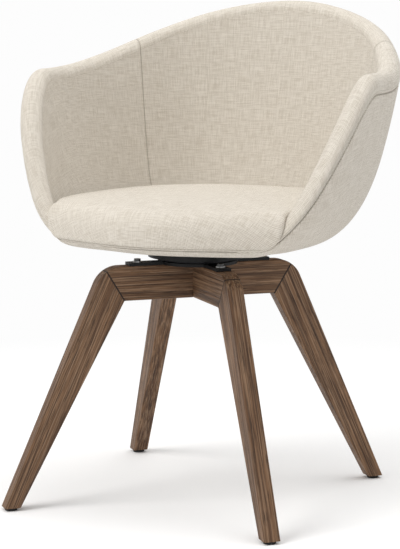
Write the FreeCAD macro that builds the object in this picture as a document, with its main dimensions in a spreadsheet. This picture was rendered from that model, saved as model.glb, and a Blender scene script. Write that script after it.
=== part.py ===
import FreeCAD, Part
import Sketcher
import math
import os

# Swivel dining chair: an upholstered tub on four mitred wooden legs, with a ball-bearing swivel.
# Millimetres, +Z up, front towards -Y. The origin is on the floor, under the middle of the whole chair.
# The swivel's axis stands ahead of it, because the back reaches further than the front feet.

os.makedirs("parts", exist_ok=True)
doc = FreeCAD.newDocument("SwivelChair")
V = FreeCAD.Vector
UP = V(0, 0, 1)

# Sizes
SIZES = {
    # wooden base
    "foot_radius": 340,
    "foot_width": 26,
    "leg_thickness": 27,
    "leg_edge_round": 2.5,
    "shoulder_radius": 167,
    "shoulder_round": 46,
    "elbow_radius": 132,
    "rail_top": 394,
    "rail_depth": 57,
    "lap_clearance": 0.1,
    "tenon_length": 36,
    "tenon_width": 30,
    "tenon_thickness": 8,
    "tenon_clearance": 0.1,
    "glide_height": 5,
    "glide_radius": 10,
    "nail_radius": 1.6,
    "nail_length": 18,
    # base plate and its screws
    "base_plate_thickness": 5,
    "base_plate_disc": 66,
    "arm_reach": 123,
    "arm_width": 25,
    "base_bolt_circle": 106,
    "base_bolt_radius": 3,
    "base_bolt_length": 26,
    "bolt_head_radius": 5.5,
    "bolt_head_height": 4,
    "bolt_hole_clearance": 0.4,
    "washer_radius": 8,
    "washer_thickness": 1.6,
    "insert_radius": 5,
    "insert_length": 20,
    # ball bearing
    "ball_circle": 52,
    "ball_radius": 3,
    "ball_count": 16,
    "ball_clearance": 0.05,
    "race_width": 14,
    "race_thickness": 6,
    "race_gap": 2,
    "cage_thickness": 1,
    "cage_width": 11,
    "spindle_radius": 8,
    "spindle_head_radius": 13,
    "spindle_head_height": 2,
    "spindle_clearance": 0.05,
    "rivet_clearance": 0.02,
    "spindle_washer_radius": 15,
    # seat plate
    "seat_plate_radius": 83,
    "seat_plate_thickness": 4,
    "seat_plate_skirt": 12,
    "seat_bolt_circle": 68,
    "seat_bolt_radius": 3,
    "seat_bolt_length": 20,
    "tee_nut_radius": 9,
    "tee_nut_barrel": 4,
    "tee_nut_flange": 1.5,
    # tub
    "board_radius": 158,
    "board_thickness": 10,
    "boss_radius": 124,
    "boss_thickness": 14,
    "board_clearance": 0.5,
    "floor_radius": 162,
    "tub_bottom": 420,
    "tub_centre": 50,
    "outer_foam": 5,
    "core_thickness": 6,
    "core_clearance": 0.3,
    "lip_height": 438,
    "arm_height": 691,
    "back_height": 808,
    "wall_lean": 0.095,
    "belly_drop": 0.6,
    "belly_rise": 5,
    # seat pad
    "pad_clearance": 1,
    "pad_top": 500,
    "pad_crown": 9,
}
# The rim, from the front round to the back: angle, radius of the roll's centre, how far the belly
# reaches past the bottom before it turns up, and the wall's thickness.
STATIONS = [
    (0, 243, 34, 16), (25, 244, 42, 16), (45, 262, 72, 22), (58, 289, 104, 34), (70, 302, 98, 38),
    (90, 297, 76, 38), (120, 298, 92, 38), (150, 325, 102, 38), (180, 335, 88, 36),
]
sheet = doc.addObject("Spreadsheet::Sheet", "Sizes")
for row, (alias, number) in enumerate(SIZES.items(), start=1):
    sheet.set("A%d" % row, alias)
    sheet.set("B%d" % row, str(number))
    sheet.setAlias("B%d" % row, alias)
doc.recompute()


def size(alias):
    return float(sheet.get(alias))


def cell(text):
    """Turn an expression in aliases into one that reads the sheet."""
    words = []
    word = ""
    for letter in text + " ":
        if letter.isalnum() or letter == "_":
            word += letter
            continue
        words.append("Sizes." + word if word in SIZES else word)
        words.append(letter)
        word = ""
    return "".join(words).strip()


def bind(item, **expressions):
    for name, text in expressions.items():
        item.setExpression(name, cell(text))


def number(text):
    return float(sheet.evalExpression(cell(text)))


def turned(angle, x=0.0, y=0.0, z=0.0):
    """A place at x, y, z that is then turned about the swivel axis."""
    turn = FreeCAD.Placement(V(0, 0, 0), FreeCAD.Rotation(UP, angle))
    return turn.multiply(FreeCAD.Placement(V(x, y, z), FreeCAD.Rotation()))


# Sketch helpers
def new_body(label):
    body = doc.addObject("PartDesign::Body", label)
    body.Label = label
    return body


def new_sketch(body, name, role, lift=None):
    plane = [p for p in body.Origin.OriginFeatures if p.Role == role][0]
    sketch = body.newObject("Sketcher::SketchObject", name)
    sketch.AttachmentSupport = [(plane, "")]
    sketch.MapMode = "FlatFace"
    if lift:
        bind(sketch, **{".AttachmentOffset.Base.z": lift})
    return sketch


def draw_polygon(sketch, points):
    """Closed polygon whose corners are held by expressions in the sheet's sizes."""
    flat = [V(number(x), number(y), 0) for x, y in points]
    first = sketch.GeometryCount
    count = len(points)
    for i in range(count):
        sketch.addGeometry(Part.LineSegment(flat[i], flat[(i + 1) % count]), False)
    for i in range(count):
        after = first + (i + 1) % count
        join_ends(sketch, first + i, after)
    for i, corner in enumerate(points):
        for kind, text in zip(("DistanceX", "DistanceY"), corner):
            hold(sketch, kind, first + i, text)


def join_ends(sketch, line, after):
    sketch.addConstraint(Sketcher.Constraint("Coincident", line, 2, after, 1))


def hold(sketch, kind, line, text):
    """Hold a line's first point at a distance from the origin."""
    index = sketch.addConstraint(Sketcher.Constraint(kind, -1, 1, line, 1, number(text)))
    name = "%s_%d" % (kind, index)
    sketch.renameConstraint(index, name)
    if any(letter.isalpha() for letter in text):
        sketch.setExpression("Constraints." + name, cell(text))


def draw_circle(sketch, x, y, radius):
    """Circle on a centre and a radius, both held by expressions."""
    centre = V(number(x), number(y), 0)
    index = sketch.addGeometry(Part.Circle(centre, V(0, 0, 1), number(radius)), False)
    size_index = sketch.addConstraint(Sketcher.Constraint("Radius", index, number(radius)))
    sketch.renameConstraint(size_index, "Radius_%d" % size_index)
    sketch.setExpression("Constraints.Radius_%d" % size_index, cell(radius))
    for kind, text in (("DistanceX", x), ("DistanceY", y)):
        at = sketch.addConstraint(Sketcher.Constraint(kind, -1, 1, index, 3, number(text)))
        sketch.renameConstraint(at, "%s_%d" % (kind, at))
        if any(letter.isalpha() for letter in text):
            sketch.setExpression("Constraints.%s_%d" % (kind, at), cell(text))


def pad(body, sketch, name, length, both_ways=False):
    feature = body.newObject("PartDesign::Pad", name)
    feature.Profile = sketch
    feature.Midplane = both_ways
    bind(feature, Length=length)
    sketch.Visibility = False
    return feature


def pocket(body, sketch, name, length, both_ways=False, reverse=False):
    feature = body.newObject("PartDesign::Pocket", name)
    feature.Profile = sketch
    feature.Midplane = both_ways
    feature.Reversed = reverse
    bind(feature, Length=length)
    return feature


def pattern(body, features, name, count):
    feature = body.newObject("PartDesign::PolarPattern", name)
    feature.Originals = features
    axis = [a for a in body.Origin.OriginFeatures if a.Role == "Z_Axis"][0]
    feature.Axis = (axis, [""])
    feature.Angle = 360
    feature.Occurrences = int(count)
    body.Tip = feature
    return feature


def revolve(body, name, points):
    """Turned piece: a polygon of radius and height, spun about the swivel axis."""
    sketch = new_sketch(body, name + "_profile", "XZ_Plane")
    draw_polygon(sketch, points)
    feature = body.newObject("PartDesign::Revolution", name)
    feature.Profile = sketch
    axis = [a for a in body.Origin.OriginFeatures if a.Role == "Z_Axis"][0]
    feature.ReferenceAxis = (axis, [""])
    feature.Angle = 360
    return feature


nodes = []


def swivel_offset():
    """How far ahead of the chair's middle the swivel's axis stands."""
    front_reach = (size("foot_radius") + size("leg_thickness") / 2) * math.sqrt(0.5)
    back_reach = size("tub_centre") + STATIONS[-1][1] + STATIONS[-1][3] / 2.0
    return (back_reach - front_reach) / 2


def keep(item, label):
    item.Placement = FreeCAD.Placement(V(0, -swivel_offset(), 0), FreeCAD.Rotation()).multiply(item.Placement)
    item.Label = label
    nodes.append(item)
    return item


def group(label, items):
    """Like solids that share one node."""
    bundle = doc.addObject("Part::Compound", label)
    bundle.Links = items
    return keep(bundle, label)


def cylinder(name, radius, height, place):
    item = doc.addObject("Part::Cylinder", name)
    bind(item, Radius=radius, Height=height)
    item.Placement = place
    return item


def join(name, items):
    item = doc.addObject("Part::MultiFuse", name)
    item.Shapes = items
    return item


def cut(name, base, tool):
    item = doc.addObject("Part::Cut", name)
    item.Base = base
    item.Tool = tool
    return item


# Wooden base
RAIL_BOTTOM = "(rail_top - rail_depth)"
INNER_FOOT = "(foot_radius - foot_width)"
CORNERS = {"front_right": -45, "rear_right": 45, "rear_left": 135, "front_left": 225}
OUTER_AT_GLIDE = "foot_radius - (foot_radius - shoulder_radius) * glide_height / rail_top"
INNER_AT_GLIDE = INNER_FOOT + " - (" + INNER_FOOT + " - elbow_radius) * glide_height / " + RAIL_BOTTOM
OUTER_AT_RAIL = "shoulder_radius + (foot_radius - shoulder_radius) * rail_depth / rail_top"
MITRE_WASTE = 60


def long_edges(shape):
    """Straight edges along a leg or a rail, which get the small hand round."""
    shortest = size("rail_depth") * 1.2
    half = size("leg_thickness") / 2
    found = []
    for i, edge in enumerate(shape.Edges, start=1):
        ends = [vertex.Point for vertex in edge.Vertexes]
        along = edge.Curve.TypeId == "Part::GeomLine" and edge.Length > shortest
        if along and all(abs(abs(p.y) - half) < 0.01 for p in ends):
            found.append("Edge%d" % i)
    return found


def upright_edges(shape, radius, height):
    """Edges across a plank's thickness that pass through one corner of its outline."""
    found = []
    for i, edge in enumerate(shape.Edges, start=1):
        middle = edge.CenterOfMass
        if abs(abs(middle.x) - radius) < 0.01 and abs(middle.z - height) < 0.01:
            if edge.Length > size("leg_thickness") * 0.9:
                found.append("Edge%d" % i)
    return found


def fillet(body, base, name, edges, radius):
    feature = body.newObject("PartDesign::Fillet", name)
    feature.Base = (base, edges)
    bind(feature, Radius=radius)
    doc.recompute()
    return feature


def mitre_waste(inside):
    """The outline on one side of the mitre, which runs from the elbow to the shoulder."""
    far = "elbow_radius - %d" % MITRE_WASTE if inside else "foot_radius"
    slope = "(shoulder_radius - elbow_radius) / rail_depth"
    above = "shoulder_radius + %d * %s" % (MITRE_WASTE, slope)
    below = "elbow_radius - %d * %s" % (MITRE_WASTE, slope)
    top = "rail_top + %d" % MITRE_WASTE
    bottom = RAIL_BOTTOM + " - %d" % MITRE_WASTE
    return [(below, bottom), (above, top), (far, top), (far, bottom)]


def mitre_place():
    """Middle of the mitre and its lean from upright, in the leg's own plane."""
    across = size("shoulder_radius") - size("elbow_radius")
    lean = math.degrees(math.atan2(across, size("rail_depth")))
    middle = V(size("elbow_radius") + across * 0.45, 0, size("rail_top") - size("rail_depth") * 0.55)
    return middle, lean


def tenon(name, loose):
    """Flat loose tenon across the mitre, or the mortise that takes it."""
    item = doc.addObject("Part::Box", name)
    extra = " + 2 * tenon_clearance" if loose else ""
    bind(item, Length="tenon_length" + extra, Width="tenon_thickness" + extra, Height="tenon_width" + extra)
    doc.recompute()
    middle, lean = mitre_place()
    turn = FreeCAD.Placement(middle, FreeCAD.Rotation(V(0, 1, 0), lean))
    back = V(-item.Length.Value / 2, -item.Width.Value / 2, -item.Height.Value / 2)
    item.Placement = turn.multiply(FreeCAD.Placement(back, FreeCAD.Rotation()))
    return item


def make_leg(corner, angle):
    """Tapered leg with its half of the rounded shoulder, mitred to the rail."""
    body = new_body("leg_blank_" + corner)
    outline = new_sketch(body, "leg_outline_" + corner, "XZ_Plane")
    inner_end = "elbow_radius - 30"
    draw_polygon(outline, [
        (INNER_AT_GLIDE, "glide_height"),
        (OUTER_AT_GLIDE, "glide_height"),
        ("shoulder_radius", "rail_top"),
        (inner_end, "rail_top"),
        (inner_end, RAIL_BOTTOM),
        ("elbow_radius", RAIL_BOTTOM),
    ])
    blank = pad(body, outline, "leg_pad_" + corner, "leg_thickness", both_ways=True)
    doc.recompute()
    shoulder = upright_edges(blank.Shape, size("shoulder_radius"), size("rail_top"))
    rounded = fillet(body, blank, "leg_shoulder_" + corner, shoulder, "shoulder_round")
    eased = fillet(body, rounded, "leg_edges_" + corner, long_edges(rounded.Shape), "leg_edge_round")
    waste = new_sketch(body, "leg_mitre_" + corner, "XZ_Plane")
    draw_polygon(waste, mitre_waste(True))
    pocket(body, waste, "leg_mitre_cut_" + corner, "leg_thickness * 2", both_ways=True)
    mortise = tenon("leg_mortise_" + corner, True)
    nail_hole = cylinder("nail_hole_" + corner, "nail_radius", "nail_length", foot_middle(True))
    leg = cut("leg_" + corner, body, join("leg_tools_" + corner, [mortise, nail_hole]))
    leg.Placement = turned(angle)
    return keep(leg, "leg_" + corner)


def foot_middle(top_of_glide=False):
    middle = (number(OUTER_AT_GLIDE) + number(INNER_AT_GLIDE)) / 2
    height = size("glide_height") if top_of_glide else 0.0
    return FreeCAD.Placement(V(middle, 0, height), FreeCAD.Rotation())


def make_glide(corner, angle):
    """Round nail-on glide, a disc with its nail driven up the leg."""
    disc = cylinder("glide_disc_" + corner, "glide_radius", "glide_height", foot_middle())
    nail = cylinder("glide_nail_" + corner, "nail_radius", "glide_height + nail_length", foot_middle())
    glide = join("glide_" + corner, [disc, nail])
    glide.Placement = turned(angle)
    return keep(glide, "glide_" + corner)


def make_rail(label, angle, lap_from_top):
    """Cross rail, mitred at both ends and half lapped at its middle."""
    body = new_body(label + "_blank")
    outline = new_sketch(body, label + "_outline", "XZ_Plane")
    draw_polygon(outline, [
        ("-(" + OUTER_AT_RAIL + ")", RAIL_BOTTOM),
        (OUTER_AT_RAIL, RAIL_BOTTOM),
        ("shoulder_radius", "rail_top"),
        ("-shoulder_radius", "rail_top"),
    ])
    blank = pad(body, outline, label + "_pad", "leg_thickness", both_ways=True)
    doc.recompute()
    shoulders = upright_edges(blank.Shape, size("shoulder_radius"), size("rail_top"))
    rounded = fillet(body, blank, label + "_shoulders", shoulders, "shoulder_round")
    fillet(body, rounded, label + "_edges", long_edges(rounded.Shape), "leg_edge_round")
    for side, sign in (("right", ""), ("left", "-")):
        waste = new_sketch(body, "%s_mitre_%s" % (label, side), "XZ_Plane")
        corners = [(sign + "(" + x + ")", z) for x, z in mitre_waste(False)]
        draw_polygon(waste, corners)
        pocket(body, waste, "%s_mitre_cut_%s" % (label, side), "leg_thickness * 2", both_ways=True)
    lap = new_sketch(body, label + "_lap", "XZ_Plane")
    half = "leg_thickness / 2 + lap_clearance"
    middle = "rail_top - rail_depth / 2"
    low, high = (middle, "rail_top + 1") if lap_from_top else (RAIL_BOTTOM + " - 1", middle)
    draw_polygon(lap, [("-(" + half + ")", low), (half, low), (half, high), ("-(" + half + ")", high)])
    pocket(body, lap, label + "_lap_cut", "leg_thickness * 2", both_ways=True)
    tools = []
    for side, turn in (("right", 0), ("left", 180)):
        mortise = tenon("%s_mortise_%s" % (label, side), True)
        mortise.Placement = turned(turn).multiply(mortise.Placement)
        hole = cylinder("%s_insert_hole_%s" % (label, side), "insert_radius", "insert_length + 1",
                        turned(turn, size("base_bolt_circle"), 0, size("rail_top") - size("insert_length")))
        tools += [mortise, hole]
    rail = cut(label, body, join(label + "_tools", tools))
    rail.Placement = turned(angle)
    return keep(rail, label)


for corner, angle in CORNERS.items():
    make_leg(corner, angle)
    make_glide(corner, angle)
make_rail("rail_front_right_to_rear_left", CORNERS["front_right"], True)
make_rail("rail_rear_right_to_front_left", CORNERS["rear_right"], False)

tenons = []
for corner, angle in CORNERS.items():
    piece = tenon("tenon_" + corner, False)
    piece.Placement = turned(angle).multiply(piece.Placement)
    tenons.append(piece)
group("mitre_tenons", tenons)

# Base plate and its screws
PLATE_TOP = size("rail_top") + size("base_plate_thickness")


def tube(name, outer, inner, height, place):
    """Plain ring; the bore is cut through with a little to spare."""
    ring = cylinder(name + "_outside", outer, height, place)
    bore = cylinder(name + "_bore", inner, height, place)
    return cut(name, ring, bore)


def make_base_plate():
    """Pressed cross: a disc with four arms that lie on the rails."""
    body = new_body("base_plate")
    disc = new_sketch(body, "plate_disc", "XY_Plane", "rail_top")
    draw_circle(disc, "0", "0", "base_plate_disc")
    pad(body, disc, "plate_disc_pad", "base_plate_thickness")
    arm = new_sketch(body, "plate_arm", "XY_Plane", "rail_top")
    half = "arm_width / 2"
    draw_polygon(arm, [("0", "-" + half), ("arm_reach", "-" + half), ("arm_reach", half), ("0", half)])
    arm_pad = pad(body, arm, "plate_arm_pad", "base_plate_thickness")
    pattern(body, [arm_pad], "plate_arms", 4)
    doc.recompute()
    hole = new_sketch(body, "plate_bolt_hole", "XY_Plane", "rail_top")
    draw_circle(hole, "base_bolt_circle", "0", "base_bolt_radius + bolt_hole_clearance")
    hole_cut = pocket(body, hole, "plate_bolt_hole_cut", "base_plate_thickness", reverse=True)
    pattern(body, [hole_cut], "plate_bolt_holes", 4)
    doc.recompute()
    bore = new_sketch(body, "plate_bore", "XY_Plane", "rail_top")
    draw_circle(bore, "0", "0", "spindle_radius + rivet_clearance")
    pocket(body, bore, "plate_bore_cut", "base_plate_thickness", reverse=True)
    body.Placement = turned(CORNERS["rear_right"])
    return keep(body, "base_plate")


make_base_plate()


def make_bolts(label, circle, radius, length, seat_height, angle, downwards):
    """Four pan-head bolts on a circle; the head rests on the seat height."""
    bolts = []
    head = size("bolt_head_height")
    shank = size(length)
    for i in range(4):
        low = seat_height - shank if downwards else seat_height
        head_low = seat_height if downwards else seat_height - head
        name = "%s_%d" % (label, i)
        stem = cylinder(name + "_stem", radius, length, turned(angle + 90 * i, size(circle), 0, low))
        cap = cylinder(name + "_cap", "bolt_head_radius", "bolt_head_height",
                       turned(angle + 90 * i, size(circle), 0, head_low))
        bolts.append(join(name, [stem, cap]))
    return group(label, bolts)


def make_rings(label, circle, outer, inner, height, low, angle):
    """Four like rings on a circle."""
    rings = []
    for i in range(4):
        place = turned(angle + 90 * i, size(circle), 0, low)
        rings.append(tube("%s_%d" % (label, i), outer, inner, height, place))
    return group(label, rings)


BASE_ANGLE = CORNERS["rear_right"]
make_rings("base_washers", "base_bolt_circle", "washer_radius", "base_bolt_radius + bolt_hole_clearance",
           "washer_thickness", PLATE_TOP, BASE_ANGLE)
make_bolts("base_bolts", "base_bolt_circle", "base_bolt_radius", "base_bolt_length",
           PLATE_TOP + size("washer_thickness"), BASE_ANGLE, True)
make_rings("rail_inserts", "base_bolt_circle", "insert_radius", "base_bolt_radius", "insert_length",
           size("rail_top") - size("insert_length"), BASE_ANGLE)

# Ball bearing
RACE_LOW = PLATE_TOP
BALL_HEIGHT = RACE_LOW + size("race_thickness") + size("race_gap") / 2
UPPER_RACE_LOW = BALL_HEIGHT + size("race_gap") / 2
SEAT_PLATE_LOW = UPPER_RACE_LOW + size("race_thickness")
SEAT_PLATE_TOP = SEAT_PLATE_LOW + size("seat_plate_thickness")


def make_race(label, low):
    """Flat ring with the ball groove turned in it."""
    place = turned(0, 0, 0, low)
    ring = tube(label + "_ring", "ball_circle + race_width / 2", "ball_circle - race_width / 2",
                "race_thickness", place)
    groove = doc.addObject("Part::Torus", label + "_groove")
    bind(groove, Radius1="ball_circle", Radius2="ball_radius + ball_clearance")
    groove.Placement = turned(0, 0, 0, BALL_HEIGHT)
    return keep(cut(label, ring, groove), label)


def make_balls():
    balls = []
    count = int(size("ball_count"))
    for i in range(count):
        ball = doc.addObject("Part::Sphere", "ball_%d" % i)
        bind(ball, Radius="ball_radius")
        ball.Placement = turned(360.0 * i / count, size("ball_circle"), 0, BALL_HEIGHT)
        balls.append(ball)
    return group("bearing_balls", balls)


def make_cage():
    """Thin ring that spaces the balls, and turns at half the seat's speed."""
    body = new_body("ball_cage")
    ring = new_sketch(body, "cage_ring", "XY_Plane", "-cage_thickness / 2")
    draw_circle(ring, "0", "0", "ball_circle + cage_width / 2")
    draw_circle(ring, "0", "0", "ball_circle - cage_width / 2")
    pad(body, ring, "cage_pad", "cage_thickness")
    doc.recompute()
    hole = new_sketch(body, "cage_hole", "XY_Plane", "-cage_thickness / 2")
    draw_circle(hole, "ball_circle", "0", "ball_radius + ball_clearance")
    hole_cut = pocket(body, hole, "cage_hole_cut", "cage_thickness", reverse=True)
    pattern(body, [hole_cut], "cage_holes", size("ball_count"))
    body.Placement = turned(0, 0, 0, BALL_HEIGHT)
    return keep(body, "ball_cage")


make_race("lower_race", RACE_LOW)
make_balls()
make_cage()
make_race("upper_race", UPPER_RACE_LOW)

WASHER_LOW = SEAT_PLATE_TOP + 2 * size("spindle_clearance")
spindle = join("spindle", [
    cylinder("spindle_pin", "spindle_radius",
             "base_plate_thickness + 2 * race_thickness + race_gap + seat_plate_thickness"
             " + 2 * spindle_clearance + washer_thickness + spindle_head_height",
             turned(0, 0, 0, size("rail_top"))),
    cylinder("spindle_collar", "spindle_head_radius", "race_thickness", turned(0, 0, 0, PLATE_TOP)),
    cylinder("spindle_rivet_head", "spindle_head_radius", "spindle_head_height",
             turned(0, 0, 0, WASHER_LOW + size("washer_thickness"))),
])
keep(spindle, "spindle")
keep(tube("spindle_washer", "spindle_washer_radius", "spindle_radius + rivet_clearance", "washer_thickness",
          turned(0, 0, 0, WASHER_LOW)), "spindle_washer")


# Seat plate
def make_seat_plate():
    """Round pressed pan with a skirt, turning on the spindle."""
    body = new_body("seat_plate")
    top = "seat_plate_thickness"
    inside = "seat_plate_radius - seat_plate_thickness"
    bore = "spindle_radius + spindle_clearance"
    skirt = "seat_plate_thickness - seat_plate_skirt"
    revolve(body, "seat_pan", [
        (bore, "0"), (inside, "0"), (inside, skirt), ("seat_plate_radius", skirt),
        ("seat_plate_radius", top), (bore, top),
    ])
    doc.recompute()
    hole = new_sketch(body, "seat_bolt_hole", "XY_Plane")
    draw_circle(hole, "seat_bolt_circle", "0", "seat_bolt_radius + bolt_hole_clearance")
    hole_cut = pocket(body, hole, "seat_bolt_hole_cut", "seat_plate_thickness", reverse=True)
    pattern(body, [hole_cut], "seat_bolt_holes", 4)
    body.Placement = turned(BASE_ANGLE, 0, 0, SEAT_PLATE_LOW)
    return keep(body, "seat_plate")


make_seat_plate()
make_bolts("seat_bolts", "seat_bolt_circle", "seat_bolt_radius", "seat_bolt_length", SEAT_PLATE_LOW,
           BASE_ANGLE, False)

# Bottom board and tee nuts
BOARD_TOP = SEAT_PLATE_TOP + size("boss_thickness") + size("board_thickness")


def make_board():
    """Plywood disc with a glued-on boss that fills the opening under the tub."""
    body = new_body("bottom_board_blank")
    top = "boss_thickness + board_thickness"
    revolve(body, "board_turned", [
        ("0", "0"), ("boss_radius", "0"), ("boss_radius", "boss_thickness"),
        ("board_radius", "boss_thickness"), ("board_radius", top), ("0", top),
    ])
    body.Placement = turned(0, 0, size("tub_centre"), SEAT_PLATE_TOP)
    doc.recompute()
    holes = [cylinder("board_hollow", "spindle_washer_radius + 2", top, turned(0, 0, 0, SEAT_PLATE_TOP))]
    for i in range(4):
        angle = BASE_ANGLE + 90 * i
        circle = size("seat_bolt_circle")
        name = "board_hole_%d" % i
        holes.append(cylinder(name, "tee_nut_barrel", top, turned(angle, circle, 0, SEAT_PLATE_TOP)))
        holes.append(cylinder(name + "_flange", "tee_nut_radius", "tee_nut_flange",
                              turned(angle, circle, 0, BOARD_TOP - size("tee_nut_flange"))))
    return keep(cut("bottom_board", body, join("board_holes", holes)), "bottom_board")


def make_tee_nuts():
    nuts = []
    barrel = size("boss_thickness")
    for i in range(4):
        angle = BASE_ANGLE + 90 * i
        circle = size("seat_bolt_circle")
        name = "tee_nut_%d" % i
        stem = cylinder(name + "_stem", "tee_nut_barrel", "boss_thickness",
                        turned(angle, circle, 0, BOARD_TOP - barrel))
        flange = cylinder(name + "_flange", "tee_nut_radius", "tee_nut_flange",
                          turned(angle, circle, 0, BOARD_TOP - size("tee_nut_flange")))
        bore = cylinder(name + "_bore", "seat_bolt_radius", "boss_thickness",
                        turned(angle, circle, 0, BOARD_TOP - barrel))
        nuts.append(cut(name, join(name + "_body", [stem, flange]), bore))
    return group("tee_nuts", nuts)


make_board()
make_tee_nuts()

# Tub
FRONT_WALL = STATIONS[0][3]
RISE_START = 41
RISE_END = 82
BACK_SWELL = 1.2
SECTION_ANGLES = list(range(0, 40, 8)) + list(range(40, 84, 4)) + list(range(84, 181, 8))
ALL_ANGLES = SECTION_ANGLES + [360 - angle for angle in SECTION_ANGLES[-2:0:-1]]


def smooth(low, high, at):
    """0 before low, 1 after high, and an even S between them."""
    share = min(1.0, max(0.0, (at - low) / float(high - low)))
    return share * share * (3 - 2 * share)


def along(column, angle):
    """Cubic through the stations, level at the front and the back."""
    angles = [station[0] for station in STATIONS]
    values = [station[column] for station in STATIONS]
    slopes = [0.0]
    for i in range(1, len(angles) - 1):
        slopes.append((values[i + 1] - values[i - 1]) / float(angles[i + 1] - angles[i - 1]))
    slopes.append(0.0)
    i = max(k for k in range(len(angles) - 1) if angles[k] <= angle)
    span = float(angles[i + 1] - angles[i])
    u = (angle - angles[i]) / span
    start = values[i] * (1 + 2 * u) * (1 - u) ** 2 + values[i + 1] * u * u * (3 - 2 * u)
    return start + span * (slopes[i] * u * (1 - u) ** 2 - slopes[i + 1] * u * u * (1 - u))


def rim_height(angle):
    rise = smooth(RISE_START, RISE_END, angle) * (size("arm_height") - size("lip_height"))
    back = smooth(RISE_END, 180, angle) ** BACK_SWELL * (size("back_height") - size("arm_height"))
    return size("lip_height") + rise + back


def wall(angle):
    return along(3, angle)


def wall_poles(angle, inset):
    """Four poles of a wall line, from the rim down and in to the flat floor, as radius and height."""
    top = rim_height(angle)
    bottom = size("tub_bottom") + inset
    drop = top - bottom
    start = along(1, angle) + wall(angle) / 2 - inset
    floor = size("floor_radius")
    return [
        (start, top),
        (start - size("wall_lean") * drop, top - size("belly_drop") * drop),
        (floor + along(2, angle), bottom + size("belly_rise") * smooth(0, 60, drop)),
        (floor, bottom),
    ]


def in_space(point, angle):
    """A radius and a height on the half plane at an angle from the front."""
    turn = math.radians(angle)
    radius, height = point
    return V(radius * math.sin(turn), size("tub_centre") - radius * math.cos(turn), height)


def bezier(points, angle):
    curve = Part.BezierCurve()
    curve.setPoles([in_space(point, angle) for point in points])
    return curve.toShape()


def line(start, end, angle):
    return Part.makeLine(in_space(start, angle), in_space(end, angle))


def lining_poles(angle):
    """The tub's inner face, which ends level on the lining over the core."""
    poles = wall_poles(angle, wall(angle))
    floor = size("tub_bottom") + FRONT_WALL
    poles[3] = (poles[3][0], floor)
    poles[2] = (poles[2][0], floor + size("belly_rise") * smooth(0, 60, poles[0][1] - floor))
    return poles


def cover_section(angle):
    """Outer face, roll over the rim, inner face, and the pocket for the core, open at the bottom."""
    thick = wall(angle)
    slack = size("core_clearance")
    opening = size("boss_radius") + size("board_clearance")
    inner_end = size("board_radius") + size("board_clearance")
    outer = wall_poles(angle, 0)
    inner = lining_poles(angle)
    near = wall_poles(angle, size("outer_foam") - slack)
    far = wall_poles(angle, size("outer_foam") + size("core_thickness") + slack)
    centre = (along(1, angle), rim_height(angle))
    top = (centre[0], centre[1] + thick / 2)
    diagonal = thick / 2 * math.sqrt(0.5)
    arcs = []
    for start, sign, end in ((outer[0], 1, top), (top, -1, inner[0])):
        middle = (centre[0] + sign * diagonal, centre[1] + diagonal)
        ends = [in_space(point, angle) for point in (start, middle, end)]
        arcs.append(Part.Arc(*ends).toShape())
    lining_edge = (inner_end, inner[3][1])
    pocket_edge = (inner_end, far[3][1])
    hem_top = (opening, near[3][1])
    hem = (opening, outer[3][1])
    edges = [bezier(outer[::-1], angle)] + arcs + [bezier(inner, angle)]
    edges.append(line(inner[3], lining_edge, angle))
    edges.append(line(lining_edge, pocket_edge, angle))
    edges.append(line(pocket_edge, far[3], angle))
    edges.append(bezier(far[::-1], angle))
    edges.append(line(far[0], near[0], angle))
    edges.append(bezier(near, angle))
    edges.append(line(near[3], hem_top, angle))
    edges.append(line(hem_top, hem, angle))
    edges.append(line(hem, outer[3], angle))
    return Part.Wire(edges)


def core_section(angle):
    """Moulded core between the outer foam and the lining, flat where the board lies on it."""
    opening = size("boss_radius") + size("board_clearance")
    near = wall_poles(angle, size("outer_foam"))
    far = wall_poles(angle, size("outer_foam") + size("core_thickness"))
    low = (opening, near[3][1])
    high = (opening, far[3][1])
    edges = [bezier(near[::-1], angle), line(near[0], far[0], angle), bezier(far, angle)]
    edges += [line(far[3], high, angle), line(high, low, angle), line(low, near[3], angle)]
    return Part.Wire(edges)


def tub_loft(label, section):
    """Loft of one section from the front round to the back, joined to its mirror image."""
    half = Part.makeLoft([section(angle) for angle in SECTION_ANGLES], True, True, False)
    other = half.mirror(V(0, 0, 0), V(1, 0, 0))
    item = doc.addObject("Part::Feature", label)
    item.Shape = half.fuse(other).removeSplitter().Solids[0]
    item.Placement = FreeCAD.Placement()
    return keep(item, label)


tub_loft("upholstery_cover", cover_section)
tub_loft("shell_core", core_section)


# Seat pad
def inner_radius(angle, height):
    """Radius of the tub's inner face at a height, or at the rim where that is lower."""
    poles = lining_poles(angle)
    low, high = 0.0, 1.0
    for _ in range(30):
        u = (low + high) / 2
        z = sum(w * p[1] for w, p in zip(bernstein(u), poles))
        low, high = (u, high) if z > height else (low, u)
    return sum(w * p[0] for w, p in zip(bernstein(low), poles))


def bernstein(u):
    return ((1 - u) ** 3, 3 * u * (1 - u) ** 2, 3 * u * u * (1 - u), u ** 3)


LIP_FREE = 4
LIP_FULL = 26


def pad_radius(angle, height, draw_in):
    """The pad's edge: close to the lining, and over the lip at the front."""
    rim = rim_height(angle)
    over_lip = smooth(LIP_FREE, LIP_FULL, height - rim - wall(angle) / 2) * (wall(angle) - 2)
    return inner_radius(angle, min(height, rim)) - size("pad_clearance") - draw_in + over_lip


def pad_outline(height, draw_in):
    points = []
    for angle in ALL_ANGLES:
        mirrored = angle if angle <= 180 else 360 - angle
        point = in_space((pad_radius(mirrored, height, draw_in), height), mirrored)
        if angle > 180:
            point.x = -point.x
        points.append(point)
    curve = Part.BSplineCurve()
    curve.interpolate(points, PeriodicFlag=True)
    return Part.Wire(curve.toShape())


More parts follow.
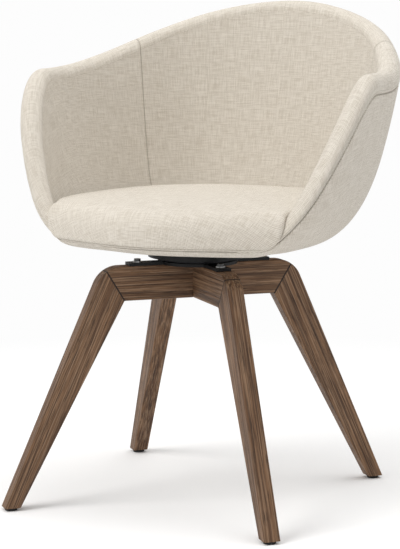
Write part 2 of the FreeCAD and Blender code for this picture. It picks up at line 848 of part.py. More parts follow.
pad_low = BOARD_TOP + size("pad_clearance")
pad_height = size("pad_top") - pad_low
pad_levels = [
    (pad_low, 18), (pad_low + 0.15 * pad_height, 9), (pad_low + 0.3 * pad_height, 5), (pad_low + 0.5 * pad_height, 3),
    (pad_low + 0.7 * pad_height, 3), (pad_low + 0.85 * pad_height, 5), (pad_low + 0.95 * pad_height, 9),
    (size("pad_top"), 16), (size("pad_top") + 0.4 * size("pad_crown"), 32),
    (size("pad_top") + 0.75 * size("pad_crown"), 65), (size("pad_top") + size("pad_crown"), 120),
]
pad_item = doc.addObject("Part::Feature", "seat_pad")
pad_item.Shape = Part.makeLoft([pad_outline(*level) for level in pad_levels], True, True, False)
pad_item.Placement = FreeCAD.Placement()
keep(pad_item, "seat_pad")

# Checks and files
doc.recompute()
for item in doc.Objects:
    if "Invalid" in item.State or "Error" in item.State:
        raise RuntimeError("%s: %s" % (item.Name, item.State))
for item in nodes:
    shape = item.Shape
    if shape.isNull() or not shape.isValid():
        raise RuntimeError("bad shape: " + item.Label)
    if not shape.Solids:
        raise RuntimeError("no solid: " + item.Label)
print("swivel axis at y %.3f" % -swivel_offset())
for item in nodes:
    item.Shape.exportStep("parts/%s.step" % item.Label)
    print("%-34s solids %d volume %.0f" % (item.Label, len(item.Shape.Solids), item.Shape.Volume))
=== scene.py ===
import bpy
import math
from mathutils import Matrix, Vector, noise


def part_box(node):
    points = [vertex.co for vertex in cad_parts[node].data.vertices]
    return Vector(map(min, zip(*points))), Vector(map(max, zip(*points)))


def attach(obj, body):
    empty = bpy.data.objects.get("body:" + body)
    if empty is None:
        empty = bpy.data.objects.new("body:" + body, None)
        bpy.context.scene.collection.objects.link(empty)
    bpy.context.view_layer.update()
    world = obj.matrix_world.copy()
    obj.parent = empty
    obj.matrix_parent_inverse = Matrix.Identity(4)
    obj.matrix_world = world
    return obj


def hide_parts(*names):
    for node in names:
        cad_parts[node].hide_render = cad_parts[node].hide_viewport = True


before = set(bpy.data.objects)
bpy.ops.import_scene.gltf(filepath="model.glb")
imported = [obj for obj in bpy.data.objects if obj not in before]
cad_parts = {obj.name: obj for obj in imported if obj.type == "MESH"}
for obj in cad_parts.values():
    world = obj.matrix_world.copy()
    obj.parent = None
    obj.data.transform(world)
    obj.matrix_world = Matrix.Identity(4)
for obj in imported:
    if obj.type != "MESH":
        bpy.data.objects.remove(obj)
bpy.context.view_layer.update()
bpy.ops.object.select_all(action="DESELECT")

# Upholstered tub
# Woven cloth over thin foam, pulled over a moulded core and sewn below the rolled rim.
# Its section changes from the low front lip to the arms and the high back, so it is laid out by angle.
TUB_Y = -0.02652
# Each station: angle from the front, radius of the rim, bulge above the floor, thickness of the roll.
STATIONS = [
    (0, 0.243, 0.034, 0.016),
    (25, 0.244, 0.042, 0.016),
    (45, 0.262, 0.072, 0.022),
    (58, 0.289, 0.104, 0.034),
    (70, 0.302, 0.098, 0.038),
    (90, 0.297, 0.076, 0.038),
    (120, 0.298, 0.092, 0.038),
    (150, 0.325, 0.102, 0.038),
    (180, 0.335, 0.088, 0.036),
]
RIM = 1
BULGE = 2
ROLL = 3
LIP = 0.438
ARM = 0.691
BACK = 0.808
LIP_END = 41
ARM_FULL = 82
BACK_RISE = 1.2
FLOOR_RADIUS = 0.162
TUB_BOTTOM = 0.420
LINING = 0.436
WALL_LEAN = 0.095
WALL_POLE = 0.6
FLOOR_LIFT = 0.005
LOW_WALL = 0.06
FOAM = 0.005
CORE = 0.006
POCKET_PLAY = 0.0005
HEM = 0.1248
LINING_EDGE = 0.1588


def smooth(low, high, at):
    """0 before low, 1 after high, and an even S between them."""
    share = min(1.0, max(0.0, (at - low) / (high - low)))
    return share * share * (3 - 2 * share)


def along(column, angle):
    """Cubic through the stations, level at the front and the back."""
    angles = [row[0] for row in STATIONS]
    values = [row[column] for row in STATIONS]
    slopes = [0.0]
    for i in range(1, len(angles) - 1):
        slopes.append((values[i + 1] - values[i - 1]) / (angles[i + 1] - angles[i - 1]))
    slopes.append(0.0)
    i = max(k for k in range(len(angles) - 1) if angles[k] <= angle)
    span = angles[i + 1] - angles[i]
    u = (angle - angles[i]) / span
    start = values[i] * (1 + 2 * u) * (1 - u) ** 2 + values[i + 1] * u * u * (3 - 2 * u)
    return start + span * (slopes[i] * u * (1 - u) ** 2 - slopes[i + 1] * u * u * (1 - u))


def rim_height(angle):
    """Low along the lip, up over the arms, and on to the top of the back."""
    arm = smooth(LIP_END, ARM_FULL, angle) * (ARM - LIP)
    back = smooth(ARM_FULL, 180, angle) ** BACK_RISE * (BACK - ARM)
    return LIP + arm + back


def wall_poles(angle, inset):
    """Four poles of a wall line, from the rim down and in to the flat floor."""
    top = rim_height(angle)
    bottom = TUB_BOTTOM + inset
    drop = top - bottom
    start = along(RIM, angle) + along(ROLL, angle) / 2 - inset
    return [
        (start, top),
        (start - WALL_LEAN * drop, top - WALL_POLE * drop),
        (FLOOR_RADIUS + along(BULGE, angle), bottom + FLOOR_LIFT * smooth(0, LOW_WALL, drop)),
        (FLOOR_RADIUS, bottom),
    ]


def lining_poles(angle):
    """The wall line inside the roll, which ends on the lining's own floor."""
    poles = wall_poles(angle, along(ROLL, angle))
    lift = FLOOR_LIFT * smooth(0, LOW_WALL, poles[0][1] - LINING)
    poles[2] = (FLOOR_RADIUS + along(BULGE, angle), LINING + lift)
    poles[3] = (FLOOR_RADIUS, LINING)
    return poles


def curve_point(poles, u):
    weights = ((1 - u) ** 3, 3 * u * (1 - u) ** 2, 3 * u * u * (1 - u), u ** 3)
    return tuple(sum(w * pole[k] for w, pole in zip(weights, poles)) for k in (0, 1))


def in_space(point, angle):
    """A radius and a height, turned to their angle about the tub's middle."""
    turn = math.radians(angle)
    return Vector((point[0] * math.sin(turn), TUB_Y - point[0] * math.cos(turn), point[1]))


def mirrored(angle):
    angle = angle % 360
    return angle if angle <= 180 else 360 - angle


def bump(distance, width):
    return math.exp(-(distance / width) ** 2)


SEAM_ANGLE = 129
SEAM_DEPTH = 0.0022
SEAM_WIDTH = 0.0022
UPRIGHT_DEPTH = 0.0014
SEAM_DROP = 0.002
SEAM_FALL = 0.012
SEAM_LEVEL = 66
HEM_TUCK = 0.0025
TUCK_FROM = 44
TUCK_END = 54
GATHER_SCALE = 95.0
RIM_GATHER = 0.0007
RIM_GATHER_WIDTH = 0.012
UPRIGHT_GATHER = 0.0006
UPRIGHT_GATHER_WIDTH = 0.010
UPRIGHT_FADE = 0.01
SLACK = 0.0009
SLACK_SCALE = 11.0
SLACK_EDGE = 0.03
OUTER_STEPS = 44
OUTER_SPREAD = 1.1
OUTER_ROWS = OUTER_STEPS + 19
SEAM_ROWS = 8
SEAM_REACH = 0.004
SHORTEST_ROW = 0.0002
SHORTEST_WALL = 0.02
ROLL_STEPS = 11
LINING_STEPS = 44
POCKET_STEPS = 14


def front_tuck(angle):
    """How much thinner the roll is at the front, where the cushion's hem lies over it."""
    return HEM_TUCK * (1 - smooth(TUCK_FROM, TUCK_END, angle))


def rim_seam(angle):
    """How far below the roll the seam runs on the outside."""
    return SEAM_DROP + SEAM_FALL * smooth(LIP_END, SEAM_LEVEL, angle)


def outer_shares(angle, length):
    """Places down the outside: close together across the seam, wider below it."""
    below = [rim_seam(angle) + SEAM_REACH * k / SEAM_ROWS for k in range(-SEAM_ROWS, SEAM_ROWS + 1)]
    near_rim = [drop / (3 * length) for drop in below if drop > SHORTEST_ROW]
    last = near_rim[-1]
    lower = [last + (1 - last) * (k / OUTER_STEPS) ** OUTER_SPREAD for k in range(1, OUTER_STEPS + 1)]
    shares = sorted({0.0, *near_rim, *lower})
    while len(shares) < OUTER_ROWS:
        widest = max(range(len(shares) - 1), key=lambda k: shares[k + 1] - shares[k])
        shares.insert(widest + 1, (shares[widest] + shares[widest + 1]) / 2)
    return shares


def cover_profile(angle):
    """Points of one section, their distance along the cloth from the top of the roll, how many of them
    can be seen, and the length of a quarter turn of the roll."""
    tuck = front_tuck(angle)
    thick = along(ROLL, angle) - tuck
    outer = wall_poles(angle, 0)
    outer[0] = (outer[0][0] - tuck, outer[0][1])
    outer[1] = (outer[1][0] - tuck, outer[1][1])
    inner = lining_poles(angle)
    near = wall_poles(angle, FOAM - POCKET_PLAY)
    far = wall_poles(angle, FOAM + CORE + POCKET_PLAY)
    centre = (along(RIM, angle) - tuck / 2, rim_height(angle))
    length = max(SHORTEST_WALL, outer[0][1] - outer[1][1])
    rows = [curve_point(outer, share) for share in reversed(outer_shares(angle, length))]
    for k in range(1, 2 * ROLL_STEPS):
        turn = math.pi * k / (2 * ROLL_STEPS)
        rows.append((centre[0] + thick / 2 * math.cos(turn), centre[1] + thick / 2 * math.sin(turn)))
    rows += [curve_point(inner, k / LINING_STEPS) for k in range(LINING_STEPS + 1)]
    seen = len(rows)
    rows += [(LINING_EDGE, LINING), (LINING_EDGE, far[3][1])]
    rows += [curve_point(far, 1 - k / POCKET_STEPS) for k in range(POCKET_STEPS + 1)]
    rows += [curve_point(near, k / POCKET_STEPS) for k in range(POCKET_STEPS + 1)]
    rows += [(HEM, near[3][1]), (HEM, TUB_BOTTOM)]
    run = [0.0]
    for a, b in zip(rows, rows[1:]):
        run.append(run[-1] + math.dist(a, b))
    top = run[OUTER_ROWS - 1 + ROLL_STEPS]
    return rows, [reach - top for reach in run], seen, math.pi * thick / 4


def sewn(rows, run, seen, seam_at, angle):
    """Sinks the seams into the skin, with small gathers beside them, and gives the cloth its slack."""
    moved = list(rows)
    for k in range(1, seen - 1):
        a, b = rows[k - 1], rows[k + 1]
        length = math.dist(a, b)
        if length < 1e-7:
            continue
        out = ((b[1] - a[1]) / length, -(b[0] - a[0]) / length)
        place = in_space(rows[k], angle)
        gather = noise.noise(place * GATHER_SCALE)
        depth = -SEAM_DEPTH * bump(run[k] - seam_at, SEAM_WIDTH)
        depth += RIM_GATHER * gather * bump(run[k] - seam_at, RIM_GATHER_WIDTH)
        if run[k] > -UPRIGHT_FADE:
            across = math.radians(mirrored(angle) - SEAM_ANGLE) * rows[k][0]
            fade = smooth(-UPRIGHT_FADE, UPRIGHT_FADE, run[k])
            depth -= fade * UPRIGHT_DEPTH * bump(across, SEAM_WIDTH)
            depth += fade * UPRIGHT_GATHER * gather * bump(across, UPRIGHT_GATHER_WIDTH)
        free = smooth(0, SLACK_EDGE, rows[k][0] - FLOOR_RADIUS)
        depth += SLACK * noise.noise(place * SLACK_SCALE) * free
        moved[k] = (rows[k][0] + depth * out[0], rows[k][1] + depth * out[1])
    return moved


ANGLE_STEP = 1.5
SEAM_NEAR = 2.4
SEAM_PARTS = 5
angles = []
for k in range(int(360 / ANGLE_STEP)):
    angle = -180 + k * ANGLE_STEP
    angles.append(angle)
    if abs(abs(angle + ANGLE_STEP / 2) - SEAM_ANGLE) < SEAM_NEAR:
        angles += [angle + ANGLE_STEP * j / SEAM_PARTS for j in range(1, SEAM_PARTS)]
vertices = []
columns = []
for angle in angles:
    rows, run, seen, quarter = cover_profile(mirrored(angle))
    seam_at = -(quarter + rim_seam(mirrored(angle)))
    vertices += [in_space(point, angle) for point in sewn(rows, run, seen, seam_at, angle)]
    columns.append({
        "outside": [reach - run[0] for reach in run],
        "lining": [run[seen - 1] - reach for reach in run],
        "seam": [reach - seam_at for reach in run],
        "roll end": quarter - seam_at,
    })
count = len(columns[0]["seam"])
rim_line = [in_space((along(RIM, mirrored(angle)), rim_height(mirrored(angle))), angle) for angle in angles]
rim_run = [0.0]
for a, b in zip(rim_line, rim_line[1:] + rim_line[:1]):
    rim_run.append(rim_run[-1] + math.dist(a, b))

# The cloth is laid flat in three panels. The outside and the lining run up from the floor, and the roll
# runs along the rim.
CLOTH_RADIUS = 0.30
faces = []
cloth_uvs = []
seam_uvs = []
for i in range(len(angles)):
    j = (i + 1) % len(angles)
    left = math.radians(angles[i]) * CLOTH_RADIUS
    right = math.radians(angles[j] if j else 180) * CLOTH_RADIUS
    for k in range(count):
        m = (k + 1) % count
        faces.append((i * count + k, i * count + m, j * count + m, j * count + k))
        middle = (columns[i]["seam"][k] + columns[i]["seam"][m]) / 2
        corners = ((left, i, k), (left, i, m), (right, j, m), (right, j, k))
        flat = [(u, columns[column]["seam"][row]) for u, column, row in corners]
        seam_uvs += flat
        if 0 < middle < columns[i]["roll end"]:
            runs = (rim_run[i], rim_run[i], rim_run[i + 1], rim_run[i + 1])
            cloth_uvs += [(reach, place[1]) for reach, place in zip(runs, flat)]
        else:
            panel = "lining" if middle > 0 else "outside"
            cloth_uvs += [(u, columns[column][panel][row]) for u, column, row in corners]
CREASE = math.radians(50)


def new_mesh(name, vertices, faces, layouts):
    data = bpy.data.meshes.new(name)
    data.from_pydata([tuple(v) for v in vertices], [], faces)
    for label, pairs in layouts.items():
        layer = data.uv_layers.new(name=label)
        layer.data.foreach_set("uv", [value for pair in pairs for value in pair])
    data.update()
    item = bpy.data.objects.new(name, data)
    bpy.context.collection.objects.link(item)
    bpy.context.view_layer.objects.active = item
    item.select_set(True)
    bpy.ops.object.mode_set(mode="EDIT")
    bpy.ops.mesh.select_all(action="SELECT")
    bpy.ops.mesh.normals_make_consistent(inside=False)
    bpy.ops.object.mode_set(mode="OBJECT")
    bpy.ops.object.shade_smooth_by_angle(angle=CREASE)
    item.select_set(False)
    return item


cover = new_mesh("cover", vertices, faces, {"cloth": cloth_uvs, "sewing": seam_uvs})


def node(tree, kind, **values):
    item = tree.nodes.new(kind)
    for key, value in values.items():
        setattr(item, key, value)
    return item


def math_node(tree, operation, *inputs):
    item = node(tree, "ShaderNodeMath", operation=operation)
    for k, value in enumerate(inputs):
        if isinstance(value, (int, float)):
            item.inputs[k].default_value = value
        else:
            tree.links.new(value, item.inputs[k])
    return item.outputs[0]


def away_from(tree, value, place):
    """How far a value lies from a place, on either side."""
    return math_node(tree, "ABSOLUTE", math_node(tree, "SUBTRACT", value, place))


def mix_colour(tree, share, first, second):
    item = node(tree, "ShaderNodeMix", data_type="RGBA")
    for socket, value in zip((item.inputs[0], item.inputs[6], item.inputs[7]), (share, first, second)):
        if isinstance(value, tuple):
            socket.default_value = (*value, 1)
        elif isinstance(value, (int, float)):
            socket.default_value = value
        else:
            tree.links.new(value, socket)
    return item.outputs[2]


def lay_over(tree, tone, mask, strength, colour):
    """One more colour over the tone, where its mask shows."""
    return mix_colour(tree, math_node(tree, "MULTIPLY", mask, strength), tone, colour)


def noise_node(tree, vector, scale, detail=2.0, stretch=None):
    if stretch:
        mapping = node(tree, "ShaderNodeMapping")
        mapping.inputs["Scale"].default_value = stretch
        tree.links.new(vector, mapping.inputs["Vector"])
        vector = mapping.outputs[0]
    item = node(tree, "ShaderNodeTexNoise")
    item.inputs["Scale"].default_value = scale
    item.inputs["Detail"].default_value = detail
    tree.links.new(vector, item.inputs["Vector"])
    return item.outputs["Fac"]


def ramp(tree, value, low, high):
    """0 at low and 1 at high; low may be the larger of the two."""
    item = node(tree, "ShaderNodeMapRange", clamp=True)
    item.inputs["From Min"].default_value = low
    item.inputs["From Max"].default_value = high
    tree.links.new(value, item.inputs["Value"])
    return item.outputs[0]


def new_group(name, outputs):
    tree = bpy.data.node_groups.new(name, "ShaderNodeTree")
    tree.interface.new_socket("Vector", in_out="INPUT", socket_type="NodeSocketVector")
    for label, kind in outputs:
        tree.interface.new_socket(label, in_out="OUTPUT", socket_type=kind)
    return tree, node(tree, "NodeGroupInput"), node(tree, "NodeGroupOutput")


def new_material(name, rough, metal=0.0):
    made = bpy.data.materials.new(name)
    made.use_nodes = True
    shader = made.node_tree.nodes["Principled BSDF"]
    shader.inputs["Roughness"].default_value = rough
    shader.inputs["Metallic"].default_value = metal
    return made, made.node_tree, shader


def add_bump(tree, shader, height, distance, strength):
    item = node(tree, "ShaderNodeBump")
    item.inputs["Distance"].default_value = distance
    item.inputs["Strength"].default_value = strength
    tree.links.new(height, item.inputs["Height"])
    tree.links.new(item.outputs[0], shader.inputs["Normal"])


# Coarse basket weave in metres: thick and thin yarns pass over and under each other.
YARN = 0.0021
YARN_WANDER = 1.6
YARN_GAP = (0.33, 0.278, 0.212)
YARN_CREAM = (0.750, 0.696, 0.612)
THICK_YARN = (0.785, 0.735, 0.655)
THIN_YARN = (0.50, 0.435, 0.345)
tree, entry, leave = new_group("basket_weave", [("Colour", "NodeSocketColor"), ("Height", "NodeSocketFloat")])
split = node(tree, "ShaderNodeSeparateXYZ")
tree.links.new(entry.outputs[0], split.inputs[0])
wander = noise_node(tree, entry.outputs[0], 9.0, 2.0)
drift = math_node(tree, "MULTIPLY", math_node(tree, "SUBTRACT", wander, 0.5), YARN_WANDER)
across = math_node(tree, "ADD", math_node(tree, "DIVIDE", split.outputs[0], YARN), drift)
down = math_node(tree, "ADD", math_node(tree, "DIVIDE", split.outputs[1], YARN), drift)
column = math_node(tree, "FLOOR", across)
line = math_node(tree, "FLOOR", down)
parity = math_node(tree, "ABSOLUTE", math_node(tree, "MODULO", math_node(tree, "ADD", column, line), 2.0))
swell_x = math_node(tree, "SINE", math_node(tree, "MULTIPLY", math_node(tree, "FRACT", across), math.pi))
swell_y = math_node(tree, "SINE", math_node(tree, "MULTIPLY", math_node(tree, "FRACT", down), math.pi))
warp = math_node(tree, "MULTIPLY", math_node(tree, "POWER", swell_x, 0.6),
                 math_node(tree, "MULTIPLY_ADD", swell_y, 0.6, 0.4))
weft = math_node(tree, "MULTIPLY", math_node(tree, "POWER", swell_y, 0.6),
                 math_node(tree, "MULTIPLY_ADD", swell_x, 0.6, 0.4))
weave = math_node(tree, "ADD", math_node(tree, "MULTIPLY", warp, parity),
                  math_node(tree, "MULTIPLY", weft, math_node(tree, "SUBTRACT", 1.0, parity)))
slub_x = noise_node(tree, entry.outputs[0], 1.0, 2.0, (560.0, 36.0, 1.0))
slub_y = noise_node(tree, entry.outputs[0], 1.0, 2.0, (36.0, 560.0, 1.0))
slub = math_node(tree, "ADD", slub_x, slub_y)
fuzz = noise_node(tree, entry.outputs[0], 2600.0, 2.0)
tone = mix_colour(tree, ramp(tree, weave, 0.18, 0.72), YARN_GAP, YARN_CREAM)
tone = lay_over(tree, tone, ramp(tree, slub, 0.85, 1.25), 0.6, THICK_YARN)
tone = lay_over(tree, tone, ramp(tree, slub, 1.0, 0.74), 0.30, THIN_YARN)
tree.links.new(tone, leave.inputs[0])
height = math_node(tree, "ADD", weave, math_node(tree, "MULTIPLY", slub, 0.5))
tree.links.new(math_node(tree, "ADD", height, math_node(tree, "MULTIPLY", fuzz, 0.4)), leave.inputs[1])
basket_weave = tree

# Sewn lines: the seam below the roll, its row of stitches, and the two upright seams of the lining.
STITCH = 0.0046
STITCH_SHARE = 0.72
STITCH_OFFSET = 0.0062
UPRIGHT = math.radians(SEAM_ANGLE) * CLOTH_RADIUS
tree, entry, leave = new_group("sewn_lines", [("Seam", "NodeSocketFloat"), ("Stitch", "NodeSocketFloat")])
split = node(tree, "ShaderNodeSeparateXYZ")
tree.links.new(entry.outputs[0], split.inputs[0])
groove = ramp(tree, math_node(tree, "ABSOLUTE", split.outputs[1]), 0.0013, 0.0004)
gap = away_from(tree, math_node(tree, "ABSOLUTE", split.outputs[0]), UPRIGHT)
inside_roll = ramp(tree, split.outputs[1], 0.02, 0.03)
upright = math_node(tree, "MULTIPLY", ramp(tree, gap, 0.0014, 0.0005), inside_roll)
tree.links.new(math_node(tree, "MAXIMUM", groove, upright), leave.inputs[0])
row = ramp(tree, away_from(tree, split.outputs[1], STITCH_OFFSET), 0.0009, 0.0004)
share = math_node(tree, "FRACT", math_node(tree, "DIVIDE", split.outputs[0], STITCH))
dash = math_node(tree, "LESS_THAN", share, STITCH_SHARE)
tree.links.new(math_node(tree, "MULTIPLY", row, dash), leave.inputs[1])
sewn_lines = tree
SEAM_SHADE = (0.25, 0.205, 0.15)
THREAD = (0.36, 0.31, 0.24)


def woven(name, lines):
    """The cloth of a piece, with or without the tub's sewn lines."""
    made, tree, shader = new_material(name, 0.92)
    flat = node(tree, "ShaderNodeUVMap", uv_map="cloth")
    weave = node(tree, "ShaderNodeGroup", node_tree=basket_weave)
    tree.links.new(flat.outputs[0], weave.inputs[0])
    colour = weave.outputs[0]
    height = weave.outputs[1]
    if lines:
        marks = node(tree, "ShaderNodeGroup", node_tree=sewn_lines)
        sewing = node(tree, "ShaderNodeUVMap", uv_map="sewing")
        tree.links.new(sewing.outputs[0], marks.inputs[0])
        colour = lay_over(tree, colour, marks.outputs[0], 0.42, SEAM_SHADE)
        colour = lay_over(tree, colour, marks.outputs[1], 0.5, THREAD)
        height = math_node(tree, "SUBTRACT", height, math_node(tree, "MULTIPLY", marks.outputs[0], 2.0))
    tree.links.new(colour, shader.inputs["Base Color"])
    shader.inputs["Sheen Weight"].default_value = 0.18
    shader.inputs["Sheen Roughness"].default_value = 0.5
    shader.inputs["Specular IOR Level"].default_value = 0.15
    add_bump(tree, shader, height, 0.0006, 0.9)
    return made


cover.data.materials.append(woven("woven_cloth", True))
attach(cover, "seat")
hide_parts("upholstery_cover")

# Seat cushion
# A foam cushion in the same cloth, fixed in the tub. It is crowned, drawn in along the lining,
# and its broad soft front is pulled over the lip to a hem on the outside.
PAD_LOW = 0.4418
PAD_FOOT = FLOOR_RADIUS - 0.006
PAD_REST = LINING + 0.006
PAD_TOP = 0.500
PAD_CROWN = 0.009
CROWN_FALL = 2.4
PAD_GAP = 0.0012
PAD_TUCK = 0.007
FRONT_EDGE = 0.052
SIDE_EDGE = 0.016
EDGE_POWER = 2 / 2.25
FRONT_PLUMP = 0.002
OVER_LIP = 46
INSIDE_ARM = 54
HEM_TURN = math.radians(14)
HEM_TURN_FROM = 40
HEM_TURN_END = 48
HEM_DIP = 0.0008
WIDE_SLACK = 0.0012
WIDE_SLACK_SCALE = 16.0
FINE_SLACK = 0.0005
FINE_SLACK_SCALE = 45.0
SLACK_DEPTH = 0.02
LINING_RINGS = 8
ROLL_RINGS = 12
SIDE_STEPS = 30
TOP_STEPS = 26


def lining_radius(angle, height):
    """Where the lining stands at a height, found by halving."""
    poles = lining_poles(angle)
    low, high = 0.0, 1.0
    for _ in range(24):
        u = (low + high) / 2
        low, high = (u, high) if curve_point(poles, u)[1] > height else (low, u)
    return curve_point(poles, low)[0]


def pad_profile(angle):
    """Up the lining and over the lip to the hem, then up the side and over the crown to the middle."""
    rim = rim_height(angle)
    tuck = front_tuck(angle)
    centre = along(RIM, angle) - tuck / 2
    reach = (along(ROLL, angle) - tuck) / 2 + PAD_GAP / 2
    inside = smooth(OVER_LIP, INSIDE_ARM, angle)
    edge = FRONT_EDGE + (SIDE_EDGE - FRONT_EDGE) * inside
    contact = min(rim, PAD_TOP - SIDE_EDGE)
    rows = []
    for k in range(LINING_RINGS):
        height = PAD_LOW + (contact - PAD_LOW) * k / (LINING_RINGS - 1) if contact > PAD_LOW else PAD_LOW
        drawn_in = PAD_TUCK * (1 - k / (LINING_RINGS - 1)) ** 2
        radius = lining_radius(angle, min(height, rim)) - PAD_GAP - drawn_in
        rows.append((radius, max(height, PAD_REST)))
    last = math.pi * inside - HEM_TURN * (1 - smooth(HEM_TURN_FROM, HEM_TURN_END, angle))
    for k in range(1, ROLL_RINGS + 1):
        turn = math.pi + (last - math.pi) * k / ROLL_RINGS
        if contact < rim:
            rows.append(rows[-1])
        else:
            rows.append((centre + reach * math.cos(turn), max(rim + reach * math.sin(turn), PAD_LOW)))
    hem = rows[-1]
    out = HEM_TUCK * (1 - inside)
    start = (hem[0] + out * 1.1, hem[1])
    rows.append((hem[0] + out * 0.8, hem[1] - HEM_DIP * (1 - inside)))
    rise = PAD_TOP - start[1]
    for k in range(SIDE_STEPS + 1):
        turn = math.pi / 2 * k / SIDE_STEPS
        across = edge * (1 - math.cos(turn) ** EDGE_POWER)
        up = rise * math.sin(turn) ** EDGE_POWER
        plump = FRONT_PLUMP * (1 - inside) * math.sin(2 * turn)
        rows.append((start[0] - across + plump, start[1] + up))
    edge_radius = rows[-1][0]
    for k in range(1, TOP_STEPS):
        share = 1 - (k / TOP_STEPS) ** 0.9
        rows.append((edge_radius * share, PAD_TOP + PAD_CROWN * (1 - share ** CROWN_FALL)))
    return rows


ARMS_FROM = 38
ARMS_COUNT = 20
near_arms = [side * (ARMS_FROM + k) for side in (1, -1) for k in range(ARMS_COUNT)]
pad_angles = sorted({*range(-180, 180, 2), *near_arms})
vertices = [Vector((0, TUB_Y, PAD_LOW)), Vector((0, TUB_Y, PAD_TOP + PAD_CROWN))]
pad_rows = []
for angle in pad_angles:
    points = []
    for row in pad_profile(mirrored(angle)):
        place = in_space(row, angle)
        slack = WIDE_SLACK * noise.noise(place * WIDE_SLACK_SCALE)
        slack += FINE_SLACK * noise.noise(place * FINE_SLACK_SCALE)
        slack *= smooth(PAD_TOP - SLACK_DEPTH, PAD_TOP, row[1])
        points.append(in_space((row[0], row[1] + slack), angle))
    pad_rows.append([math.dist(a, b) for a, b in zip(points, points[1:])])
    vertices += [in_space((PAD_FOOT, PAD_LOW), angle)] + points
ring = len(pad_rows[0]) + 2
LAYOUT_START = 0.008


def cloth_place(i, k):
    """Flat layout of the cushion's cloth: distance from the middle, in the direction of the angle."""
    reach = sum(pad_rows[i][max(0, k - 1):]) + LAYOUT_START
    turn = math.radians(pad_angles[i])
    return (reach * math.sin(turn), -reach * math.cos(turn))


layout = [[cloth_place(i, k) for k in range(ring)] for i in range(len(pad_angles))]
faces = []
face_uvs = []
for i in range(len(pad_angles)):
    j = (i + 1) % len(pad_angles)
    first, second = 2 + i * ring, 2 + j * ring
    faces.append((0, second, first))
    face_uvs += [(0, 0), layout[j][0], layout[i][0]]
    for k in range(ring - 1):
        faces.append((first + k, second + k, second + k + 1, first + k + 1))
        face_uvs += [layout[i][k], layout[j][k], layout[j][k + 1], layout[i][k + 1]]
    faces.append((first + ring - 1, second + ring - 1, 1))
    face_uvs += [layout[i][ring - 1], layout[j][ring - 1], (0, 0)]
cushion = new_mesh("cushion", vertices, faces, {"cloth": face_uvs})
seat_cloth = woven("woven_cloth_seat", False)
cushion.data.materials.append(seat_cloth)
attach(cushion, "seat")
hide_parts("seat_pad")

# Oak legs and rails
# Smoked and oiled oak: four tapered legs mitred to two rails that cross in a half lap, with beech tenons.
# Each piece is sawn along its length, so the grain turns at the mitre, where a dark line shows.
SWIVEL_Y = -0.07652
OAK_DARK = (0.091, 0.043, 0.020)
OAK_LIGHT = (0.221, 0.119, 0.060)
OAK_RING = (0.052, 0.024, 0.012)
OAK_FIBRE = (0.360, 0.236, 0.148)
OAK_VEIN = (0.035, 0.016, 0.008)
OAK_PORE = (0.021, 0.010, 0.005)
OAK_RUBBED = (0.268, 0.163, 0.095)
tree, entry, leave = new_group("oak_grain", [("Colour", "NodeSocketColor"), ("Height", "NodeSocketFloat"),
                                             ("Wear", "NodeSocketFloat")])
bend = noise_node(tree, entry.outputs[0], 1.0, 2.0, (9.0, 9.0, 1.8))
bands = noise_node(tree, entry.outputs[0], 1.0, 4.0, (64.0, 50.0, 1.4))
rings = math_node(tree, "SINE", math_node(tree, "MULTIPLY", math_node(tree, "ADD", bands, bend), 46.0))
fibre = noise_node(tree, entry.outputs[0], 1.0, 4.0, (520.0, 520.0, 7.0))
veins = noise_node(tree, entry.outputs[0], 1.0, 2.0, (330.0, 330.0, 5.0))
pores = noise_node(tree, entry.outputs[0], 1.0, 3.0, (980.0, 980.0, 30.0))
patch = noise_node(tree, entry.outputs[0], 9.0, 3.0)
tone = mix_colour(tree, ramp(tree, bands, 0.30, 0.70), OAK_DARK, OAK_LIGHT)
tone = lay_over(tree, tone, ramp(tree, rings, 0.2, 1.0), 0.5, OAK_RING)
tone = lay_over(tree, tone, ramp(tree, fibre, 0.46, 0.62), 0.55, OAK_FIBRE)
tone = lay_over(tree, tone, ramp(tree, veins, 0.52, 0.61), 0.66, OAK_VEIN)
tone = lay_over(tree, tone, ramp(tree, pores, 0.57, 0.66), 0.8, OAK_PORE)
tone = lay_over(tree, tone, ramp(tree, patch, 0.5, 0.75), 0.2, OAK_RUBBED)
tree.links.new(tone, leave.inputs[0])
pits = math_node(tree, "ADD", ramp(tree, pores, 0.56, 0.66), ramp(tree, veins, 0.54, 0.66))
tree.links.new(math_node(tree, "SUBTRACT", math_node(tree, "MULTIPLY", fibre, 0.35), pits), leave.inputs[1])
tree.links.new(ramp(tree, patch, 0.2, 0.8), leave.inputs[2])
oak_grain = tree
MITRE_LOW = (0.132, 0.337)
MITRE_HIGH = (0.167, 0.394)
MITRE_LINE = 0.0011
MITRE_SHADE = (0.012, 0.007, 0.005)
PALE_SHARE = 0.86


